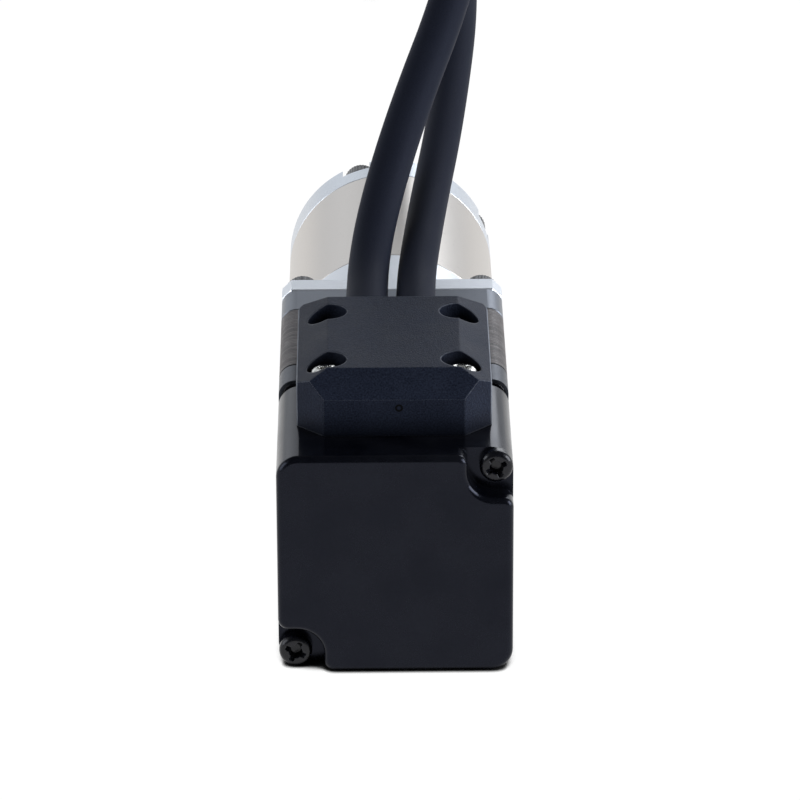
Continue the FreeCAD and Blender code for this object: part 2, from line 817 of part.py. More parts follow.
def board_pillars():
    pillars = []
    for x in (-pillar_x, pillar_x):
        pillar = cyl(pillar_r, y_board_front, y_bell_rear, x, 0)
        pillar = pillar.fuse(cyl(m2_r, y_bell_rear, y_bell_rear + pillar_stud, x, 0)).removeSplitter()
        bore = cyl(m2_r + thread_gap, y_board_front, y_board_front + pillar_len / 2, x, 0)
        pillars.append(pillar.cut(bore))
    return Part.makeCompound(pillars)


def encoder_board():
    w, h, c = board_w / 2, board_h / 2, board_corner
    outline = [(w - c, h), (-w + c, h), (-w, h - c), (-w, -h + c)]
    outline += [(-w + c, -h), (w - c, -h), (w, -h + c), (w, h - c)]
    board = prism(outline, y_board_front - board_t, y_board_front)
    for x in (-pillar_x, pillar_x):
        board = board.cut(cyl(m2_r + slide_fit, y_board_front - board_t, y_board_front, x, 0))
    return board


def board_screws():
    seat = y_board_front - board_t
    length = board_t + pillar_len / 2 - hole_gap
    screws = []
    for x in (-pillar_x, pillar_x):
        head = cyl(pillar_r, seat - m2_head_h, seat, x, 0)
        slot = box(x - pillar_r, x + pillar_r, seat - m2_head_h, seat - m2_head_h / 2,
                   -recess_w / 2, recess_w / 2)
        screws.append(head.cut(slot).fuse(cyl(m2_r, seat, seat + length, x, 0)).removeSplitter())
    return Part.makeCompound(screws)


def reader_chip():
    return box(-reader_w / 2, reader_w / 2, y_board_front, y_board_front + reader_t,
               reader_z - reader_h / 2, reader_z + reader_h / 2)


def board_headers():
    headers = []
    y1 = y_board_front - board_t
    for z in (-header_h, header_h):
        body = box(-header_w / 2, header_w / 2, y1 - header_t, y1, z - header_h / 2, z + header_h / 2)
        well = box(-header_w / 2 + side_gap, header_w / 2 - side_gap, y1 - header_t, y1 - header_floor,
                   z - header_h / 2 + side_gap, z + header_h / 2 - side_gap)
        headers.append(body.cut(well))
    return Part.makeCompound(headers)


def disc_hub():
    y0 = y_disc_rear + disc_t
    y1 = y_bell_rear - side_gap
    hub = cyl(hub_r, y0, y0 + hub_flange_t).fuse(cyl(hub_neck_r, y_disc_rear, y1))
    return hub.removeSplitter().cut(cyl(rear_journal_r, y_disc_rear, y1))


def code_disc():
    return pipe(disc_r, hub_neck_r, y_disc_rear, y_disc_rear + disc_t)


def box_section(inset):
    """Cross section of the cable box, pulled in by the given wall."""
    side = box_w / 2 - inset
    top = box_top_w / 2 - inset / 2
    z1 = z_box_top - inset
    z_side = z1 - box_side_drop
    return [(-side, half), (-side, z_side), (-top, z1), (top, z1), (side, z_side), (side, half)]


def box_outside():
    """The cable box as one block: sloped at both ends, cut corners behind, round ones in front."""
    outer = prism(box_section(0.0), y_box_rear, y_box_front)
    sides = [e for e in edges_near(outer, y_box_front) if e.BoundBox.ZLength > box_side_drop]
    outer = outer.makeFillet(box_nose_r, [e for e in sides if e.BoundBox.XLength < box_side_drop])
    z_slope = z_box_top - box_slope
    slope = [(y_box_rear, z_slope), (y_box_rear, z_box_top), (y_box_rear + box_slope, z_box_top)]
    outer = outer.cut(across(slope, -box_w, box_w))
    brow = [(y_box_front, z_box_top - box_brow), (y_box_front, z_box_top), (y_box_wall, z_box_top)]
    outer = outer.cut(across(brow, -box_w, box_w))
    for s in (1, -1):
        side = s * box_w / 2
        corner = [(side, y_box_rear), (side - s * box_corner, y_box_rear), (side, y_box_rear + box_corner)]
        outer = outer.cut(upright(corner, half, z_box_top))
    return outer


def cable_box():
    outer = box_outside()
    cavity = prism(box_section(box_wall), y_box_rear + box_corner + box_wall / 2, y_box_wall)
    shell = outer.cut(cavity)
    posts = [(s * post_x, y) for s in (1, -1) for y in (y_post_rear, y_post_front)]
    for x, y in posts:
        column = post(post_pocket_r + post_wall, half, z_box_top, x, y)
        shell = shell.fuse(column.common(outer))
    shell = shell.removeSplitter()
    seats = {y_post_rear: z_rear_seat, y_post_front: z_front_seat}
    for x, y in posts:
        shell = shell.cut(post(post_pocket_r, seats[y], z_box_top + box_wall, x, y))
        shell = shell.cut(post(m2_r + hole_gap, half, seats[y], x, y))
    return shell.cut(grommet_outline(y_box_wall - box_wall, y_box_front))


def cable_box_screws():
    screws = []
    for s in (1, -1):
        screws.append(top_screw(s * post_x, y_post_rear, z_rear_seat, box_screw_len, s * rear_post_turn))
        screws.append(top_screw(s * post_x, y_post_front, z_front_seat, box_screw_len, s * front_post_turn))
    return Part.makeCompound(screws)


def grommet_outline(y0, y1):
    r = motor_cable_r + grommet_wall
    x = cable_pitch / 2
    block = box(-x - r, x + r, y0, y1, half, z_cable).fuse(box(-x, x, y0, y1, z_cable, z_cable + r))
    above = box(-box_w, box_w, y0, y1, half, z_box_top)
    for s in (1, -1):
        block = block.fuse(cyl(r, y0, y1, s * x, z_cable).common(above))
    return block.removeSplitter()


def cable_grommet():
    block = grommet_outline(y_box_wall, y_box_front).common(box_outside())
    block = block.cut(cyl(motor_cable_r, y_box_wall, y_box_front, -cable_pitch / 2, z_cable))
    return block.cut(cyl(encoder_cable_r, y_box_wall, y_box_front, cable_pitch / 2, z_cable))


def route_points(x, route, landing, plug_start, plug_h):
    """Corners of a cable path from inside the box to the plug on the floor."""
    z_plug = z_floor + plug_h / 2
    points = [V(x, y_box_wall, z_cable), V(x, y_box_front + cable_lead, z_cable)]
    points += [V(px, y_rear + along, z_cable + rise) for px, along, rise in route]
    points += [V(px, y_rear + along, z_plug) for px, along in landing]
    points.append(V(landing[-1][0], y_rear + plug_start + collar_len, z_plug))
    return points


def cable(name, r, points):
    """Round tube along straight runs joined by tangent arcs."""
    edges = []
    radii = []
    at = points[0]
    for i in range(1, len(points) - 1):
        p = points[i]
        a = points[i - 1] - p
        b = points[i + 1] - p
        turn = math.pi - a.getAngle(b)
        reach = bend_share * min(a.Length, b.Length)
        radius = reach / math.tan(turn / 2)
        radii.append(radius)
        start = p + a.normalize() * reach
        end = p + b.normalize() * reach
        inward = (a + b).normalize()
        middle = p + inward * (radius / math.cos(turn / 2) - radius)
        edges.append(Part.LineSegment(at, start).toShape())
        edges.append(Part.Arc(start, middle, end).toShape())
        at = end
    edges.append(Part.LineSegment(at, points[-1]).toShape())
    wire = Part.Wire(edges)
    profile = Part.Wire([Part.Circle(points[0], V(0, 1, 0), r).toShape()])
    tube = wire.makePipeShell([profile], True, False)
    print(name, "length", round(wire.Length, 1), "least radius", round(min(radii), 1),
          "volume share", round(tube.Volume / (math.pi * r * r * wire.Length), 4))
    return tube


def plug(x, plug_start, w, h, cable_r, contact_w, pitch, columns):
    """Wire plug lying on the floor with its open face towards +Y."""
    y0 = y_rear + plug_start
    y1 = y0 + collar_len + plug_len
    z = z_floor + h / 2
    body = box(x - w / 2, x + w / 2, y0 + collar_len, y1, z_floor, z_floor + h)
    body = body.fuse(cyl(cable_r + collar_wall, y0, y0 + collar_len, x, z))
    body = body.fuse(box(x - latch_w / 2, x + latch_w / 2, y0 + 2 * collar_len, y1 - collar_len,
                         z_floor + h, z_floor + h + latch_h)).removeSplitter()
    body = body.cut(cyl(cable_r, y0, y0 + collar_len, x, z))
    for i in range(columns):
        for side in (-1, 1):
            cx = x + pitch * (i - (columns - 1) / 2)
            cz = z + side * pitch / 2
            body = body.cut(box(cx - contact_w / 2, cx + contact_w / 2, y1 - contact_depth, y1,
                                cz - contact_w / 2, cz + contact_w / 2))
    return body


motor_path = route_points(-cable_pitch / 2, motor_route, motor_landing,
                          motor_plug_start, motor_plug_h)
encoder_path = route_points(cable_pitch / 2, encoder_route, encoder_landing,
                            encoder_plug_start, encoder_plug_h)

nodes = {
    "encoder_cover": encoder_cover(),
    "cover_screws": cover_screws(),
    "cover_seal": cover_seal(),
    "encoder_board": encoder_board(),
    "board_pillars": board_pillars(),
    "board_screws": board_screws(),
    "board_headers": board_headers(),
    "reader_chip": reader_chip(),
    "code_disc": code_disc(),
    "disc_hub": disc_hub(),
    "rear_end_bell": rear_end_bell(),
    "stator_core": stator_core(),
    "front_end_bell": front_end_bell(),
    "tie_bolts": tie_bolts(),
    "front_insulator": winding_insulator(y_stator_front, y_stator_front + insulator_t),
    "rear_insulator": winding_insulator(y_stator_rear - insulator_t, y_stator_rear),
    "windings": windings(),
    "motor_shaft": motor_shaft(),
    "rotor_cup_front": rotor_cup(y_stator_mid + magnet_t / 2, y_rotor_front,
                                 y_rotor_front, y_front_bearing, math.pi / rotor_teeth),
    "rotor_cup_rear": rotor_cup(y_rotor_rear, y_stator_mid - magnet_t / 2,
                                y_rear_bearing + bearing_w, y_rotor_rear, 0.0),
    "rotor_magnet": rotor_magnet(),
    "front_bearing_outer": bearing_outer(y_front_bearing),
    "front_bearing_inner": bearing_inner(y_front_bearing),
    "front_bearing_balls": bearing_balls(y_front_bearing),
    "rear_bearing_outer": bearing_outer(y_rear_bearing),
    "rear_bearing_inner": bearing_inner(y_rear_bearing),
    "rear_bearing_balls": bearing_balls(y_rear_bearing),
    "wave_washer": wave_washer(),
    "cable_box": cable_box(),
    "cable_box_screws": cable_box_screws(),
    "cable_grommet": cable_grommet(),
    "motor_cable": cable("motor_cable", motor_cable_r, motor_path),
    "encoder_cable": cable("encoder_cable", encoder_cable_r, encoder_path),
    "motor_plug": plug(motor_landing[-1][0], motor_plug_start, motor_plug_w, motor_plug_h,
                       motor_cable_r, motor_contact_w, motor_contact_pitch, 2),
    "encoder_plug": plug(encoder_landing[-1][0], encoder_plug_start, encoder_plug_w, encoder_plug_h,
                         encoder_cable_r, encoder_contact_w, encoder_contact_pitch, 4),
    "gearbox_flange": gearbox_flange(),
    "flange_screws": flange_screws(),
    "planet_washer": planet_washer(),
    "ring_gear": ring_gear(),
    "sun_gear": sun_gear(),
    "stage_1_carrier": stage_1_carrier(),
    "stage_1_pins": planet_pins(y_planet_1, y_carrier_1 + carrier_1_t),
    "output_shaft": output_shaft(),
    "stage_2_pins": planet_pins(y_planet_2, y_carrier_2_front),
    "output_housing": output_housing(),
    "long_screws": long_screws(),
    "rear_bush": pipe(bush_r, shaft_r + run_fit, y_rear_bush, y_rear_bush + bush_len),
    "front_bush": pipe(bush_r, shaft_r + run_fit, pilot_h - bush_len, pilot_h),
    "thrust_washer": pipe(bush_r, shaft_r + run_fit, y_carrier_2_front + run_fit, y_rear_bush),
    "shaft_clip": shaft_clip(),
}
for letter, k in (("a", 0), ("b", 1), ("c", 2)):
    nodes["stage_1_planet_" + letter] = planet(k, y_planet_1, y_planet_1 + planet_1_w)
    nodes["stage_2_planet_" + letter] = planet(k, y_planet_2, y_planet_2 + planet_2_w)

os.makedirs("parts", exist_ok=True)
for name, shape in nodes.items():
    shape.exportStep("parts/" + name + ".step")
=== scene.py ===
# %% [markdown]
# # A geared stepper motor, dressed
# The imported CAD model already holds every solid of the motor, its gearbox and its encoder.
# This lesson gives those solids their finishes, lays the two cables as smooth curves, and adds
# the small things that only show close up. Everything is in metres, in the frame of the CAD:
# the output shaft points along +Y and +Z is up.

# %% Load the solids
import math

import bmesh
import bpy
from mathutils import Matrix, Vector


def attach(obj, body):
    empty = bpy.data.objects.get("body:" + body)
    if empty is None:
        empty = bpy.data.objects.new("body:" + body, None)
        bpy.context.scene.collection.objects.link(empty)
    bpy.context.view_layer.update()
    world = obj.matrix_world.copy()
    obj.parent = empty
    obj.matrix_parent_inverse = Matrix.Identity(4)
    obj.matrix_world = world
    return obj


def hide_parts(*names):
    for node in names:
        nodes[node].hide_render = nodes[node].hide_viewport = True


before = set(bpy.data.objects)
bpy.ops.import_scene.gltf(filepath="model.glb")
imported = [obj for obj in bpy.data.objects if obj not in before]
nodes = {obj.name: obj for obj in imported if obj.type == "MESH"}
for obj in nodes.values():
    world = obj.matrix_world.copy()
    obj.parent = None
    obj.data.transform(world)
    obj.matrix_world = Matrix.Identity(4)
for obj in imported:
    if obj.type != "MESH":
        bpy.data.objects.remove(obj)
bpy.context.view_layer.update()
scene = bpy.context.scene
scene.view_settings.view_transform = "Standard"

# %% [markdown]
# ## Camera
# The motor is seen from behind and above, from far away through a long lens, so its square end
# looks almost free of perspective. A constraint could aim the camera at the motor, but three
# plain angles, down, sideways and a hair of roll, say exactly how it was held.

# %% The camera behind the encoder
camera_place = Vector((-0.0027, -0.6317, 0.2505))
look_down = math.radians(23.35)
look_right = math.radians(0.36)
camera_roll = math.radians(-0.24)

camera_data = bpy.data.cameras.new("studio_camera")
camera_data.sensor_width = 36.0
camera_data.lens = 221.27
camera_data.clip_start = 0.01
camera = bpy.data.objects.new("studio_camera", camera_data)
scene.collection.objects.link(camera)
turn = Matrix.Rotation(-look_right, 4, "Z") @ Matrix.Rotation(math.pi / 2 - look_down, 4, "X")
turn = turn @ Matrix.Rotation(camera_roll, 4, "Z")
camera.matrix_world = Matrix.Translation(camera_place) @ turn
scene.camera = camera
print("camera at", tuple(camera_place), "lens", camera_data.lens)

# %% [markdown]
# ## Cables
# Two round cables leave the front of the box on the motor's back, arch over the gearbox and come
# down to the floor, where each ends in its crimp housing. A circle could be extruded from point
# to point, but a NURBS spline with a round bevel bends like a real jacket does, without kinks,
# and needs only a few control points. Its order is set after the points are in, because before
# that the curve falls back to straight runs.

# %% A helper that lays a cable
round_steps = 10
run_steps = 14
spline_order = 3


def lay_cable(name, points, diameter):
    curve = bpy.data.curves.new(name, "CURVE")
    curve.dimensions = "3D"
    curve.bevel_depth = 1.0
    curve.bevel_resolution = round_steps
    curve.resolution_u = run_steps
    curve.use_fill_caps = True
    spline = curve.splines.new("NURBS")
    spline.points.add(len(points) - 1)
    for control, place in zip(spline.points, points):
        control.co = (*place, 1.0)
        control.radius = diameter / 2
    spline.order_u = spline_order
    spline.use_endpoint_u = True
    piece = bpy.data.objects.new(name, curve)
    scene.collection.objects.link(piece)
    return piece


print("cables will be splines of order", spline_order)

# %% The motor's cable and the encoder's cable
motor_route = [
    (-0.00305, -0.06955, 0.0176), (-0.0034, -0.0593, 0.0176), (-0.0023, -0.0473, 0.0224),
    (0.0018, -0.0353, 0.0325), (0.0088, -0.0213, 0.0460), (0.0120, -0.0033, 0.0570),
    (0.0129, 0.0187, 0.0600), (0.0125, 0.0487, 0.0520), (0.0120, 0.0837, 0.0350),
    (0.0115, 0.1167, 0.0120), (0.0110, 0.1427, -0.0040), (0.0110, 0.1627, -0.0101),
    (0.0120, 0.1797, -0.0101), (0.0120, 0.1967, -0.0101),
]
encoder_route = [
    (0.00305, -0.06955, 0.0176), (0.0026, -0.0593, 0.0176), (0.0044, -0.0413, 0.0214),
    (0.0075, -0.0213, 0.0280), (0.0099, 0.0007, 0.0370), (0.0088, 0.0247, 0.0420),
    (0.0047, 0.0507, 0.0380), (0.0, 0.0807, 0.0260), (-0.0020, 0.1107, 0.0090),
    (-0.0025, 0.1347, -0.0040), (-0.0025, 0.1547, -0.0106), (-0.0035, 0.1757, -0.0106),
    (-0.0025, 0.1937, -0.0106), (-0.0025, 0.2127, -0.0106),
]
motor_cable_d = 0.0052
encoder_cable_d = 0.0049
motor_lead = lay_cable("motor_lead", motor_route, motor_cable_d)
encoder_lead = lay_cable("encoder_lead", encoder_route, encoder_cable_d)
for lead, node in ((motor_lead, "motor_cable"), (encoder_lead, "encoder_cable")):
    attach(lead, "housing")
    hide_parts(node)
print("cables:", motor_lead.name, encoder_lead.name)

# %% [markdown]
# ## Node helpers
# Every finish below is a small node tree. It could be wired by hand in the Shader editor, but in
# a script a few helpers keep it readable: one adds a node, one feeds a socket with a number, a
# colour or another node's output, and one sets the finished nodes out in columns, so that the
# tree can still be read in the editor.

# %% Helpers for any node tree
column_width = 240
row_height = 200


def add(tree, kind, **settings):
    node = tree.nodes.new(kind)
    for key, value in settings.items():
        setattr(node, key, value)
    return node


def feed(tree, source, target):
    if isinstance(source, (int, float, tuple)):
        target.default_value = source
    else:
        tree.links.new(source, target)


def arrange(tree):
    column = {node.name: 0 for node in tree.nodes}
    for _ in column:
        for wire in tree.links:
            left_of = column[wire.to_node.name] + 1
            column[wire.from_node.name] = max(column[wire.from_node.name], left_of)
    rows = {}
    for node in tree.nodes:
        step = column[node.name]
        rows[step] = rows.get(step, 0) + 1
        node.location = (-step * column_width, -rows[step] * row_height)


print("node helpers: add, feed, arrange")

# %% [markdown]
# ## Node sums
# Masks are made of small sums, so the common ones get a short name each: a Math node, a Map Range
# with straight or soft ends, a Mix and an Ambient Occlusion. A Mix node has sockets for every kind
# of value, and those of one kind are found by their numbers.

# %% Helpers for sums and mixes
mix_sockets = {"FLOAT": (0, 2, 3), "RGBA": (0, 6, 7)}
mix_result = {"FLOAT": 0, "RGBA": 2}


def math_node(tree, operation, first, second=None, clamp=False):
    node = add(tree, "ShaderNodeMath", operation=operation, use_clamp=clamp)
    feed(tree, first, node.inputs[0])
    if second is not None:
        feed(tree, second, node.inputs[1])
    return node.outputs[0]


def remap(tree, value, source=(0.0, 1.0), target=(0.0, 1.0), ends="LINEAR"):
    node = add(tree, "ShaderNodeMapRange", interpolation_type=ends)
    labels = ("From Min", "From Max", "To Min", "To Max")
    for label, number in zip(labels, (*source, *target)):
        node.inputs[label].default_value = number
    feed(tree, value, node.inputs["Value"])
    return node.outputs["Result"]


def ramp(tree, value, source, target=(0.0, 1.0)):
    return remap(tree, value, source, target, "SMOOTHSTEP")


def mixed(tree, share, first, second, kind="RGBA"):
    node = add(tree, "ShaderNodeMix", data_type=kind)
    for number, value in zip(mix_sockets[kind], (share, first, second)):
        feed(tree, value, node.inputs[number])
    return node.outputs[mix_result[kind]]


def occlusion(tree, reach, samples=8):
    node = add(tree, "ShaderNodeAmbientOcclusion", samples=samples)
    node.inputs["Distance"].default_value = reach
    return node.outputs["AO"]


print("sums: math_node, remap, ramp, mixed, occlusion")

# %% [markdown]
# ## Floor
# The motor stands on a white paper sweep. Its ground could be made plain white with stronger
# lamps, but they would bleach the motor too. So the camera and the mirrors see the paper glow, and
# a small share of it stays matt and keeps the soft shadow. The glow is a hair over one, to make up
# for that share. Two Ambient Occlusion nodes take the glow away under the motor as a painted
# shadow: a short one paints the contact shadow line, and a long one paints shadow into the deep
# corner below the lower screw.

# %% The white floor
floor_z = -0.0141
floor_size = 6.0
floor_white = (0.9, 0.9, 0.9, 1)
floor_glow_share = 0.97
floor_glow = 1.035
contact_reach = 0.0007
contact_depth = 2.0
nook_reach = 0.005
nook_span = (0.36, 0.54)
nook_samples = 16

floor_mesh = bpy.data.meshes.new("white_sweep")
shape = bmesh.new()
bmesh.ops.create_grid(shape, x_segments=1, y_segments=1, size=floor_size / 2)
bmesh.ops.translate(shape, verts=shape.verts, vec=(0, 0, floor_z))
shape.to_mesh(floor_mesh)
shape.free()
floor = bpy.data.objects.new("white_sweep", floor_mesh)
scene.collection.objects.link(floor)
print("floor at", floor_z)

# %% The floor's paper
floor_paper = bpy.data.materials.new("white_paper")
floor_paper.use_nodes = True
tree = floor_paper.node_tree
tree.nodes.clear()
matt = add(tree, "ShaderNodeBsdfDiffuse")
feed(tree, floor_white, matt.inputs["Color"])
# painted shadow: Ambient Occlusion takes the floor's glow away close to the motor
contact_shadow = math_node(tree, "POWER", occlusion(tree, contact_reach), contact_depth)
nook_shadow = ramp(tree, occlusion(tree, nook_reach, nook_samples), nook_span)
painted_shadow = math_node(tree, "MULTIPLY", contact_shadow, nook_shadow)
glow = add(tree, "ShaderNodeEmission")
feed(tree, math_node(tree, "MULTIPLY", painted_shadow, floor_glow), glow.inputs["Strength"])
path = add(tree, "ShaderNodeLightPath").outputs
seen = math_node(tree, "MAXIMUM", path["Is Camera Ray"], path["Is Glossy Ray"])
seen = math_node(tree, "MAXIMUM", seen, path["Is Transmission Ray"])
paper = add(tree, "ShaderNodeMixShader")
feed(tree, math_node(tree, "MULTIPLY", seen, floor_glow_share), paper.inputs[0])
feed(tree, matt.outputs[0], paper.inputs[1])
feed(tree, glow.outputs[0], paper.inputs[2])
feed(tree, paper.outputs[0], add(tree, "ShaderNodeOutputMaterial").inputs[0])
arrange(tree)
floor_mesh.materials.append(floor_paper)
print(floor_paper.name, "glows by", floor_glow_share)

# %% [markdown]
# ## World
# The camera sees the world as plain white too. Mirrors see white low down in front, less of it at
# the sides, and a dim room overhead and behind the camera, where a studio has no lights: that is
# why the round edges of a black moulding read as dark lines with bright ends. A picture of a
# studio could give this, but a few soft ramps over the direction do, and need no file.

# %% The world: white low in front, less at the sides, dim overhead and behind
diffuse_share = 0.5
dim_level = 0.1
side_level = 0.4
front_level = 0.84
front_span = (-0.15, 0.35)
front_fade = (0.25, 0.75)
side_span = (0.45, 0.8)
sky_tone = (0.95, 0.985, 1.035, 1)
plain_white = (1, 1, 1, 1)

world = bpy.data.worlds.new("white_studio")
world.use_nodes = True
scene.world = world
tree = world.node_tree
tree.nodes.clear()
split = add(tree, "ShaderNodeSeparateXYZ")
feed(tree, add(tree, "ShaderNodeTexCoord").outputs["Generated"], split.inputs[0])
way = split.outputs
front = math_node(tree, "MULTIPLY", ramp(tree, way["Y"], front_span),
                  ramp(tree, way["Z"], front_fade, (1.0, 0.0)))
front = math_node(tree, "MULTIPLY", front, front_level)
side = ramp(tree, math_node(tree, "ABSOLUTE", way["X"]), side_span, (0.0, side_level))
lit = math_node(tree, "MAXIMUM", math_node(tree, "MAXIMUM", front, side), dim_level)
path = add(tree, "ShaderNodeLightPath").outputs
mirrored = math_node(tree, "MAXIMUM", path["Is Glossy Ray"], diffuse_share)
lit = math_node(tree, "MULTIPLY", lit, mirrored)
seen = math_node(tree, "MAXIMUM", path["Is Camera Ray"], path["Is Transmission Ray"])
sky = add(tree, "ShaderNodeBackground")
feed(tree, math_node(tree, "MAXIMUM", lit, seen), sky.inputs["Strength"])
feed(tree, mixed(tree, seen, sky_tone, plain_white), sky.inputs["Color"])
feed(tree, sky.outputs[0], add(tree, "ShaderNodeOutputWorld").inputs[0])
arrange(tree)
print("world dim level", dim_level)

# %% [markdown]
# ## Softboxes
# Four area lamps stand round the motor, the strongest on its right. A point lamp would leave hot
# spots on the metal. A large lamp gives the broad highlights of a photographer's softbox.

# %% The softboxes: two behind the camera's sides, two in front of the motor
lamp_aim = Vector((0, -0.05, 0))
lamp_width = 0.55
lamp_height = 0.45
lamp_tone = sky_tone[:3]
softboxes = {
    "right_softbox": ((0.75, -0.24, 0.3), 5.8),
    "left_softbox": ((-0.75, -0.24, 0.3), 2.4),
    "front_right_softbox": ((0.32, 0.75, 0.5), 2.0),
    "front_left_softbox": ((-0.35, 0.75, 0.38), 0.25),
}
for name, (place, power) in softboxes.items():
    lamp_data = bpy.data.lights.new(name, "AREA")
    lamp_data.shape = "RECTANGLE"
    lamp_data.size = lamp_width
    lamp_data.size_y = lamp_height
    lamp_data.energy = power
    lamp_data.color = lamp_tone
    lamp = bpy.data.objects.new(name, lamp_data)
    lamp.location = place
    lamp.rotation_euler = (lamp_aim - lamp.location).to_track_quat("-Z", "Y").to_euler()
    scene.collection.objects.link(lamp)
    print(name, power, "W")

# %% [markdown]
# ## Shared effects
# The finishes share a few effects. Each could be copied into every material, but as a node group
# with its own sliders it is built once. They all read Object coordinates, which are real metres
# here, so a scale of 1000 means one wave in a millimetre.

# %% Helpers for the groups
float_kind = "NodeSocketFloat"
vector_kind = "NodeSocketVector"


def start_group(name, sliders, results):
    tree = bpy.data.node_groups.new(name, "ShaderNodeTree")
    for label, value in sliders.items():
        socket = tree.interface.new_socket(name=label, in_out="INPUT", socket_type=float_kind)
        socket.default_value = value
    for label, kind in results.items():
        tree.interface.new_socket(name=label, in_out="OUTPUT", socket_type=kind)
    return tree, add(tree, "NodeGroupInput").outputs, add(tree, "NodeGroupOutput").inputs


def object_place(tree):
    return add(tree, "ShaderNodeTexCoord").outputs["Object"]


def place_axes(tree):
    split = add(tree, "ShaderNodeSeparateXYZ")
    feed(tree, object_place(tree), split.inputs[0])
    return split.outputs


def noise_node(tree, vector, scale, detail, rough):
    node = add(tree, "ShaderNodeTexNoise")
    feed(tree, vector, node.inputs["Vector"])
    feed(tree, scale, node.inputs["Scale"])
    feed(tree, detail, node.inputs["Detail"])
    feed(tree, rough, node.inputs["Roughness"])
    return node.outputs["Fac"]


print("group helpers: start_group, object_place, place_axes, noise_node")

# %% Fine grain: moulded texture and cast skin, with a slower cloud under it
noise_span = (0.3, 0.7)
noise_rough = 0.55
grain_detail = 2.0
cloud_detail = 4.0

grain_group, given, gives = start_group(
    "fine_grain", {"Scale": 3000.0, "Cloud Scale": 90.0},
    {"Grain": float_kind, "Cloud": float_kind})
place = object_place(grain_group)
for label, scale, detail in (("Grain", "Scale", grain_detail),
                             ("Cloud", "Cloud Scale", cloud_detail)):
    noise = noise_node(grain_group, place, given[scale], detail, noise_rough)
    feed(grain_group, remap(grain_group, noise, noise_span), gives[label])
arrange(grain_group)
print("group", grain_group.name)

# %% Edge highlight: a painted highlight, the thin bright line along a rounded edge, where it is sharp enough
rounding_samples = 6

edge_highlight_group, given, gives = start_group(
    "edge_highlight", {"Radius": 0.0002, "Threshold": 0.0, "Gain": 3.0},
    {"Edge": float_kind, "Rounded": vector_kind})
rounding = add(edge_highlight_group, "ShaderNodeBevel", samples=rounding_samples)
feed(edge_highlight_group, given["Radius"], rounding.inputs["Radius"])
surface = add(edge_highlight_group, "ShaderNodeNewGeometry")
facing = add(edge_highlight_group, "ShaderNodeVectorMath", operation="DOT_PRODUCT")
feed(edge_highlight_group, rounding.outputs["Normal"], facing.inputs[0])
feed(edge_highlight_group, surface.outputs["Normal"], facing.inputs[1])
away = math_node(edge_highlight_group, "SUBTRACT", 1.0, facing.outputs["Value"])
away = math_node(edge_highlight_group, "SUBTRACT", away, given["Threshold"])
edge = math_node(edge_highlight_group, "MULTIPLY", away, given["Gain"], clamp=True)
feed(edge_highlight_group, edge, gives["Edge"])
feed(edge_highlight_group, rounding.outputs["Normal"], gives["Rounded"])
arrange(edge_highlight_group)
print("group", edge_highlight_group.name)

# %% Sheet lines: the edges of a stack of thin steel sheets
wobble_scale = 180.0
wobble_detail = 2.0
wobble_rough = 0.5
half_sheet = 0.5
line_half = 0.14

sheet_group, given, gives = start_group(
    "sheet_lines", {"Pitch": 0.0005, "Wobble": 0.0},
    {"Line": float_kind, "Sheet Tone": float_kind})
wobble = noise_node(sheet_group, object_place(sheet_group), wobble_scale, wobble_detail,
                    wobble_rough)
count = math_node(sheet_group, "DIVIDE", place_axes(sheet_group)["Y"], given["Pitch"])
drift = math_node(sheet_group, "MULTIPLY", wobble, given["Wobble"])
count = math_node(sheet_group, "ADD", count, drift)
within = math_node(sheet_group, "FRACT", count)
ridge = math_node(sheet_group, "PINGPONG", within, half_sheet)
line = math_node(sheet_group, "LESS_THAN", ridge, line_half)
tone = add(sheet_group, "ShaderNodeTexWhiteNoise", noise_dimensions="1D")
feed(sheet_group, math_node(sheet_group, "FLOOR", count), tone.inputs["W"])
feed(sheet_group, line, gives["Line"])
feed(sheet_group, tone.outputs["Value"], gives["Sheet Tone"])
arrange(sheet_group)
print("group", sheet_group.name)

# %% Turning marks: fine rings round the shaft's axis, as noise along the radius and the axis
mark_detail = 2.0

turn_group, given, gives = start_group(
    "turning_marks", {"Fineness": 6000.0}, {"Mark": float_kind})
axes = place_axes(turn_group)
across = add(turn_group, "ShaderNodeCombineXYZ")
feed(turn_group, axes["X"], across.inputs[0])
feed(turn_group, axes["Z"], across.inputs[1])
radius = add(turn_group, "ShaderNodeVectorMath", operation="LENGTH")
feed(turn_group, across.outputs[0], radius.inputs[0])
rings = add(turn_group, "ShaderNodeTexNoise", noise_dimensions="1D")
feed(turn_group, mark_detail, rings.inputs["Detail"])
along = math_node(turn_group, "ADD", axes["Y"], radius.outputs["Value"])
feed(turn_group, along, rings.inputs["W"])
feed(turn_group, given["Fineness"], rings.inputs["Scale"])
feed(turn_group, rings.outputs["Fac"], gives["Mark"])
arrange(turn_group)
print("group", turn_group.name)

# %% [markdown]
# ## A finish from its parts
# A finish starts as one Principled shader. What is the same all over is set on its sockets, and
# what changes over the surface is mixed from the groups: two tones clouded together, a painted
# highlight along the edge, a grain that shifts the roughness and lifts the surface through a Bump
# node. Colours are written as the 0 to 255 values of a screen, and turned into the linear light
# that a shader needs.

# %% Helpers that build a finish
def srgb(red, green, blue):
    channels = []
    for value in (red, green, blue):
        value = value / 255
        channels.append(value / 12.92 if value <= 0.04045 else ((value + 0.055) / 1.055) ** 2.4)
    return (*channels, 1.0)


def use_group(tree, group, **sliders):
    node = add(tree, "ShaderNodeGroup", node_tree=group)
    for label, value in sliders.items():
        node.inputs[label.replace("_", " ")].default_value = value
    return node.outputs


def start_finish(name, metallic=0.0, specular=0.5):
    material = bpy.data.materials.new(name)
    material.use_nodes = True
    shader = material.node_tree.nodes["Principled BSDF"]
    shader.inputs["Metallic"].default_value = metallic
    shader.inputs["Specular IOR Level"].default_value = specular
    return material, material.node_tree, shader.inputs


def vary(tree, mask, middle, play):
    return remap(tree, mask, target=(middle - play, middle + play))


